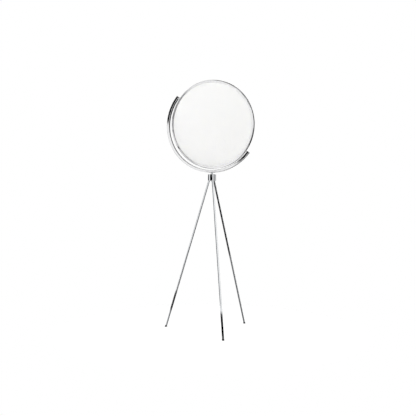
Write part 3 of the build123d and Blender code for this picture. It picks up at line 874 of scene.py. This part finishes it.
@dataclass
class Arc:
    """The half circle of C section and its two end blocks."""

    outer: float = 383 * MM
    thickness: float = 20 * MM
    width: float = 28 * MM
    wall: float = 2.5 * MM
    slot: float = 11 * MM
    edge: float = 3 * MM
    end_length: float = 16 * MM
    spigot: float = 10 * MM
    spigot_play: float = 0.05 * MM
    boss_radius: float = 6 * MM
    boss_root: float = 0.5 * MM
    boss_face: float = 353.5 * MM
    pin_reach: float = 371 * MM
    bush_radius: float = 4.55 * MM

    def end_angle(self) -> float:
        """Half of the angle that an end block takes up, in radians."""
        return self.end_length / 2 / (self.outer - self.thickness / 2)

    def channel(self) -> None:
        """The channel: its C section goes round the arc's centre by half a turn."""
        inner, half = self.outer - self.thickness, self.width / 2
        lip = self.slot / 2
        section = rounded(
            [
                (self.outer, lip),
                (self.outer, half),
                (inner, half),
                (inner, -half),
                (self.outer, -half),
                (self.outer, -lip),
                (self.outer - self.wall, -lip),
                (self.outer - self.wall, -half + self.wall),
                (inner + self.wall, -half + self.wall),
                (inner + self.wall, half - self.wall),
                (self.outer - self.wall, half - self.wall),
                (self.outer - self.wall, lip),
            ],
            [DEBURRED] + [self.edge] * 4 + [DEBURRED] * 2 + [0] * 4 + [DEBURRED],
            closed=True,
        )
        turn = np.linspace(pi + self.end_angle(), 2 * pi - self.end_angle(), BIG_STEPS // 2 + 1)
        grid = ARC_PLACE.put(turned(section, turn))
        piece(
            "arc_channel_plated", [Patch(grid, Closing.BAR)], Body.ARC, "plated_aluminium",
            ["arc_channel"],
        )

    def end(self, name: str, angle: float, inward: int) -> None:
        """One end block: a rounded bar, its spigot in the channel and its boss to the head.

        Args:
            name: Which end, upper or lower.
            angle: The end's angle in the arc, in degrees.
            inward: The sense of turning that goes into the channel.
        """
        middle, half = self.outer - self.thickness / 2, self.width / 2
        reach, turn = self.end_angle(), radians(angle)
        inset = self.wall + self.spigot_play
        block, core = (
            rounded(
                [
                    (middle + a * (self.thickness / 2 - less), b * (half - less))
                    for a, b in ((1, 1), (-1, 1), (-1, -1), (1, -1))
                ],
                [edge] * 4,
                closed=True,
            )
            for less, edge in ((0.0, self.edge), (inset, BROKEN))
        )
        start = turn + inward * reach
        tongue = np.linspace(start, start + inward * self.spigot / middle, 5)
        out = ARC_PLACE.put(array([cos(turn), sin(turn), 0.0])) - ARC_PLACE.origin
        boss_place = Placement(ARC_PLACE.origin, FRONT, np.cross(out, FRONT), out)
        root = middle - self.thickness / 2 + self.boss_root
        boss = rounded(
            [
                (self.boss_radius, root),
                (self.boss_radius, self.boss_face),
                (self.bush_radius, self.boss_face),
                (self.bush_radius, self.pin_reach),
                (0.0, self.pin_reach),
            ],
            [0, SOFTENED, BROKEN, 0, 0],
        )
        boss = np.vstack([array([(0.0, root)]), boss])
        piece(
            f"arc_end_{name}_plated",
            [
                Patch(
                    ARC_PLACE.put(turned(block, turn + np.linspace(-reach, reach, 9))),
                    Closing.BAR,
                ),
                Patch(ARC_PLACE.put(turned(core, tongue)), Closing.BAR),
                lathe(boss_place, boss),
            ],
            Body.ARC, "plated_aluminium", [f"arc_end_{name}"],
            bevel=SOFTENED,
        )

    def build(self) -> None:
        """Build the channel and both ends."""
        self.channel()
        self.end("upper", 180.0, 1)
        self.end("lower", 0.0, -1)


@dataclass
class Head:
    """The round light panel: rim, opal diffuser, back panel and its screws."""

    radius: float = 352 * MM
    depth: float = 24 * MM
    wall: float = 1.8 * MM
    lip: float = 16 * MM
    lip_thickness: float = 2 * MM
    crown: float = 0.5 * MM
    crown_width: float = 5 * MM
    crown_round: float = 20 * MM
    edge: float = 2.2 * MM
    back_edge: float = 0.7 * MM
    lip_edge: float = 0.4 * MM
    rib: float = 4.6 * MM
    rib_thickness: float = 3 * MM
    panel: float = 1.5 * MM
    panel_play: float = 0.3 * MM
    diffuser_back: float = 6 * MM
    diffuser_front: float = 9 * MM
    diffuser_play: float = 0.5 * MM
    step_radius: float = 290 * MM
    step: float = 3 * MM
    step_shift: float = 0.5 * MM
    step_bends: tuple[float, ...] = (4 * MM, 3 * MM, 1.5 * MM, 5.5 * MM)
    screws: int = 8
    first_screw: float = 22.5
    screw_radius: float = 2.2 * MM
    screw_height: float = 1.2 * MM
    screw_fall: float = 0.35
    cross_depth: float = 0.6
    cross_bar: float = 0.1
    cross_reach: float = 0.62
    cross_fade: float = 0.12

    def rim(self) -> None:
        """The rim: a rolled section with a rounded lip, turned round the head's own axis."""
        front, inner = self.depth / 2, self.radius - self.wall
        panel_front = self.panel - front
        section = rounded(
            [
                (self.radius, -front),
                (self.radius, front - self.crown),
                (self.radius - self.crown_width, front),
                (self.radius - self.lip, front),
                (self.radius - self.lip, front - self.lip_thickness),
                (inner, front - self.lip_thickness),
                (inner, panel_front + self.rib_thickness),
                (inner - self.rib, panel_front + self.rib_thickness),
                (inner - self.rib, panel_front),
                (inner, panel_front),
                (inner, -front),
            ],
            [self.back_edge, self.edge, self.crown_round, self.lip_edge, DEBURRED, DEBURRED]
            + [0, BROKEN, BROKEN, 0, DEBURRED],
            closed=True,
        )
        piece(
            "rim_rolled", [lathe(HEAD_PLACE, section, Closing.RING, BIG_STEPS)], Body.HEAD,
            "plated_aluminium", ["head_rim"],
        )

    def diffuser(self) -> None:
        """The opal sheet, with a barely rounded edge."""
        inside = self.radius - self.wall - self.rib - self.diffuser_play
        outline = np.vstack([
            array([(0.0, self.diffuser_front), (inside / 2, self.diffuser_front)]),
            rounded(
                [(inside * 0.9, self.diffuser_front), (inside, self.diffuser_front),
                 (inside, self.diffuser_back), (inside * 0.9, self.diffuser_back)],
                [0, self.lip_edge, self.lip_edge, 0],
            ),
            array([(0.0, self.diffuser_back)]),
        ])
        piece(
            "diffuser_opal", [lathe(HEAD_PLACE, outline, steps=BIG_STEPS)], Body.HEAD,
            "opal_acrylic", ["diffuser"],
        )

    def back(self) -> None:
        """The back panel: a pressed sheet with one shallow round step."""
        front = self.depth / 2
        foot = self.step_radius + 2 * self.step
        inside = self.radius - self.wall - self.panel_play
        outer_bends, inner_bends = self.step_bends[:2], self.step_bends[2:]
        outline = rounded(
            [
                (0.0, self.step - front),
                (self.step_radius, self.step - front),
                (foot, -front),
                (inside, -front),
                (inside, self.panel - front),
                (foot - self.step_shift, self.panel - front),
                (self.step_radius - self.step_shift, self.panel + self.step - front),
                (0.0, self.panel + self.step - front),
            ],
            [0, *outer_bends, DEBURRED, 0, *inner_bends, 0],
        )
        piece(
            "back_panel_pressed", [lathe(HEAD_PLACE, outline, steps=BIG_STEPS)], Body.HEAD,
            "coated_aluminium", ["back_panel"],
        )

    def screw_heads(self) -> None:
        """The panel's screws: low domes with a cross recess.

        The dome's height falls with the square of the distance from the middle. The
        recess takes its depth off wherever the nearer of the two bars of the cross
        passes, fading over a bar's width, and fades out at the cross's reach. All its
        sizes are shares of the screw's own radius and height.
        """
        rings, steps = 14, 32
        share = np.linspace(0, 1, rings)
        angles = circle_angles(steps)
        across = np.cos(angles)[:, None] * share
        over = np.sin(angles)[:, None] * share
        dome = 1 - self.screw_fall * share**2
        bar = np.minimum(np.abs(across), np.abs(over)) / self.cross_bar
        end = (self.cross_reach - share) / self.cross_fade
        cut = np.clip(1.6 - bar, 0, 1) * np.clip(end, 0, 1)
        height = (dome - self.cross_depth * cut) * self.screw_height
        top = np.stack([across * self.screw_radius, over * self.screw_radius, height], axis=-1)
        foot = top[:, -1:] * array([1, 1, 0])
        cap = np.concatenate([top, foot, foot * array([0, 0, 0])], axis=1)
        circle = self.radius - self.wall - self.rib / 2
        seat = HEAD_PLACE.moved(z=-self.depth / 2)
        patches = []
        for number in range(self.screws):
            turn = radians(self.first_screw + number * 360 / self.screws)
            out = seat.put(array([cos(turn), sin(turn), 0.0])) - seat.origin
            origin = seat.origin + out * circle
            place = Placement(origin, out, np.cross(-seat.z, out), -seat.z)
            patches.append(Patch(place.put(cap)))
        piece("panel_screw_heads", patches, Body.HEAD, "zinc_steel", ["panel_screws"])

    def build(self) -> None:
        """Build the head."""
        self.rim()
        self.diffuser()
        self.back()
        self.screw_heads()


@dataclass(frozen=True)
class Zone:
    """A box of directions in the studio that metal sees as a flag or a card.

    The azimuth is in degrees from +Y towards +X, and the elevation is above level. A box
    that names a leg by its azimuth is square to that leg instead: one straight tube sees
    the whole of such a box at one height, whichever way round its side is turned.
    """

    azimuth: float
    half_width: float
    low: float
    high: float
    level: float
    soft: float = 2.0
    fade: float = 5.0
    leg: float | None = None

    def turn(self) -> tuple[float, float, float]:
        """The Euler angles that bring the box's own axis upright and its middle ahead.

        With the axis (x, y, z), the turn about X is atan2(y, z), which clears y. The turn
        about Y is atan2(-x, sqrt(y^2 + z^2)), which clears x.

        Returns:
            The turns about X, Y and Z, in radians.
        """
        if self.leg is None:
            return (0.0, 0.0, radians(self.azimuth))
        lean = radians(LEG_LEAN)
        x = -sin(lean) * cos(radians(self.leg))
        y = -sin(lean) * sin(radians(self.leg))
        about_x = float(np.arctan2(y, cos(lean)))
        about_y = float(np.arctan2(-x, np.hypot(y, cos(lean))))
        return (about_x, about_y, radians(self.azimuth))


# How far the legs lean from upright, in degrees.
LEG_LEAN = 16.9
LEFT, FRONT_LEG, RIGHT = 180.0, 300.0, 60.0

# What the chrome sees, besides the white of the studio. A later zone covers an earlier one.
ZONES = (
    # The studio's side on the right: a grey card above, a black flag below.
    Zone(92, 30, -16, 12, 0.38),
    Zone(81, 45, -37, -16, 0.0),
    # A tall flag behind the lamp.
    Zone(4, 24, -23, 30, 0.0, fade=2.0),
    # The dark ceiling, all round.
    Zone(0, 190, 42, 100, 0.20),
    # A flag behind the camera, level with the hub.
    Zone(181, 36, 0.4, 2.80, 0.0, 0.12),
    # A grey card beside the camera, low on the left.
    Zone(212, 3.6, -8, -0.8, 0.30, 0.4, 0.7),
    # Two grey cards for the foot ends of the rear legs, and the flags over them.
    Zone(118, 78, -18.5, -9.5, 0.30, 1.0, leg=LEFT),
    Zone(180, 70, -24.0, -17.0, 0.15, 0.6, leg=RIGHT),
    Zone(188, 100, -17.0, -7.0, 0.0, 0.6, leg=RIGHT),
    Zone(105, 94, -15.5, -13.7, 0.0, 0.2, 1.5, LEFT),
    Zone(256, 44, -15.5, -13.7, 0.0, 0.2, 1.5, LEFT),
    # The flags for the front leg: one for its foot end, one along its left side.
    Zone(150, 140, 3.6, 6.1, 0.0, 0.2, leg=FRONT_LEG),
    Zone(214, 32, 6.8, 21, 0.0, 0.5, leg=FRONT_LEG),
    # Two small flags, one for each end of the arc.
    Zone(198, 7, 7.45, 10.2, 0.0, 0.2, 1.0),
    Zone(190, 5, 3.85, 6.5, 0.0, 0.15, 1.2),
)


@dataclass
class Studio:
    """The floor, the lights, the surroundings and the camera. None of it is the lamp."""

    camera_distance: float = 4.85
    camera_azimuth: float = 16.94
    camera_height: float = 1.0202
    camera_pitch: float = -0.5
    camera_roll: float = 0.297
    camera_across: float = 0.0295
    focal_pixels: float = 605.0
    sensor: float = 36.0
    floor_size: float = 30.0
    floor_colour: str = "#F5F5F4"
    floor_glow: float = 0.8
    floor_shadow: float = 0.3
    floor_fade: tuple[float, float] = (0.9, 1.3)
    key_power: float = 90.0
    key_size: float = 3.0
    key_place: tuple[float, float, float] = (-2.2, -3.4, 3.6)
    key_target: tuple[float, float, float] = (0.0, 0.0, 1.1)
    fill: float = 0.72

    def camera(self) -> None:
        """The camera, at the photograph's view: almost level, at half the lamp's height."""
        turn = radians(self.camera_azimuth)
        pitch = radians(self.camera_pitch)
        right = array([cos(turn), sin(turn), 0.0])
        ahead = array([-sin(turn), cos(turn), 0.0])
        target = UPRIGHT.origin - right * self.camera_across
        place = target - ahead * self.camera_distance + array([0, 0, self.camera_height])
        lens = bpy.data.cameras.new("camera")
        lens.sensor_width = self.sensor
        lens.lens = self.focal_pixels / PHOTO_WIDTH * self.sensor
        lens.clip_end = 200.0
        made = add_object("camera", lens)
        made.location = place
        look = Vector(ahead * cos(pitch) + array([0, 0, sin(pitch)]))
        made.rotation_mode = "QUATERNION"
        roll = Quaternion((0.0, 0.0, 1.0), radians(self.camera_roll))
        made.rotation_quaternion = look.to_track_quat("-Z", "Y") @ roll
        bpy.context.scene.camera = made

    def floor(self) -> None:
        """A pale floor, which the camera sees nearly white, with the lamp's soft shadow.

        Further out it fades into the white behind, and mirrors see that white in its place.
        """
        reach = np.linspace(-1, 1, 3)
        grid = np.stack(np.meshgrid(reach, reach, [0.0], indexing="ij"), axis=-1)
        grid = grid.reshape(3, 3, 3) * self.floor_size / 2
        mesh = bpy.data.meshes.new("floor")
        quads = Patch(grid, Closing.SHEET).quads(0)
        mesh.from_pydata(grid.reshape(-1, 3).tolist(), [], quads.tolist())
        made = add_object("floor", mesh)
        material = bpy.data.materials.new("studio_floor_pale")
        tree = empty_tree(material)
        path = add_node(tree, "LightPath")
        matt = add_node(tree, "BsdfDiffuse", Color=(*[self.floor_shadow] * 3, 1.0))
        lit = add_node(tree, "Emission", Color=(1, 1, 1, 1), Strength=self.floor_glow)
        seen = add_node(tree, "AddShader", i0=matt.outputs[0], i1=lit.outputs[0])
        plain = add_node(tree, "BsdfDiffuse", Color=linear(self.floor_colour))
        clear = add_node(tree, "BsdfTransparent")
        position = add_node(tree, "TexCoord").outputs["Object"]
        distance = add_node(
            tree, "VectorMath", {"operation": "DISTANCE"}, i0=position, i1=tuple(UPRIGHT.origin),
        )
        far = add_node(
            tree, "MapRange", {"interpolation_type": "SMOOTHSTEP"}, Value=distance.outputs["Value"],
            From_Min=self.floor_fade[0], From_Max=self.floor_fade[1],
        )
        shown = add_node(
            tree, "MixShader", i0=far.outputs[0], i1=seen.outputs[0], i2=clear.outputs[0],
        )
        first = add_node(
            tree, "MixShader", i0=path.outputs["Is Camera Ray"], i1=plain.outputs[0],
            i2=shown.outputs[0],
        )
        second = add_node(
            tree, "MixShader", i0=path.outputs["Is Glossy Ray"], i1=first.outputs[0],
            i2=clear.outputs[0],
        )
        add_node(tree, "OutputMaterial", Surface=second.outputs[0])
        mesh.materials.append(material)

    def zone_share(self, tree: bpy.types.NodeTree, zone: Zone) -> Any:
        """The share of a zone in a direction, as an output socket.

        The direction is turned so that the zone's middle is ahead. The share is the
        product of three smooth steps from nought to one: inwards over its side edges, up
        over its lower edge and down over its upper edge.

        Args:
            tree: The world's node tree.
            zone: The zone.

        Returns:
            The socket that holds the share.
        """
        place = add_node(tree, "TexCoord").outputs["Generated"]
        turn = add_node(tree, "Mapping", Vector=place, Rotation=zone.turn())
        axes = add_node(tree, "SeparateXYZ", i0=turn.outputs[0])
        side = add_node(
            tree, "Math", {"operation": "ARCTAN2"}, i0=axes.outputs[0], i1=axes.outputs[1],
        )
        side = add_node(tree, "Math", {"operation": "ABSOLUTE"}, i0=side.outputs[0])
        rise = add_node(tree, "Math", {"operation": "ARCSINE"}, i0=axes.outputs[2])
        soft, fade = zone.soft, zone.fade
        spans = (
            (side.outputs[0], zone.half_width + fade, zone.half_width - fade),
            (rise.outputs[0], zone.low - soft, zone.low + soft),
            (rise.outputs[0], zone.high + soft, zone.high - soft),
        )
        share = 1.0
        for value, outside, inside in spans:
            edge = add_node(
                tree, "MapRange", {"interpolation_type": "SMOOTHSTEP"}, Value=value,
                From_Min=radians(outside), From_Max=radians(inside),
            )
            product = add_node(
                tree, "Math", {"operation": "MULTIPLY"}, i0=share, i1=edge.outputs[0],
            )
            share = product.outputs[0]
        return share

    def surroundings(self) -> None:
        """A white studio: plain light on matt surfaces, and flags that only metal sees."""
        world = bpy.data.worlds.new("studio")
        tree = empty_tree(world)
        level: Any = 1.0
        for zone in ZONES:
            mix = add_node(
                tree, "Mix", {"data_type": "FLOAT"}, i0=self.zone_share(tree, zone), i2=level,
                i3=zone.level,
            )
            level = mix.outputs[0]
        path = add_node(tree, "LightPath")
        seen = add_node(
            tree, "Mix", {"data_type": "FLOAT"}, i0=path.outputs["Is Glossy Ray"], i2=self.fill,
            i3=level,
        )
        direct = add_node(
            tree, "Math", {"operation": "MAXIMUM"}, i0=path.outputs["Is Camera Ray"],
            i1=path.outputs["Is Transmission Ray"],
        )
        strength = add_node(
            tree, "Mix", {"data_type": "FLOAT"}, i0=direct.outputs[0], i2=seen.outputs[0], i3=1.0,
        )
        back = add_node(tree, "Background", Color=(1, 1, 1, 1), Strength=strength.outputs[0])
        add_node(tree, "OutputWorld", Surface=back.outputs[0])
        bpy.context.scene.world = world

    def key_light(self) -> None:
        """One large soft lamp, up on the left in front."""
        lamp = bpy.data.lights.new("key", "AREA")
        lamp.shape = "DISK"
        lamp.size = self.key_size
        lamp.energy = self.key_power
        made = add_object("key", lamp)
        made.location = self.key_place
        aim = Vector(self.key_target) - made.location
        made.rotation_mode = "QUATERNION"
        made.rotation_quaternion = aim.to_track_quat("-Z", "Y")
        made.visible_glossy = False

    def build(self) -> None:
        """Build the stage."""
        self.floor()
        self.surroundings()
        self.key_light()
        self.camera()
        bpy.context.scene.view_settings.view_transform = "Standard"


def main() -> None:
    """Build the lamp and its stage."""
    logging.basicConfig(level=logging.INFO, format="%(name)s: %(message)s")
    dress_nodes()
    Tripod().build()
    CableOutlet().build()
    Neck().build()
    Arc().build()
    Head().build()
    Studio().build()


if __name__ == "__main__":
    main()
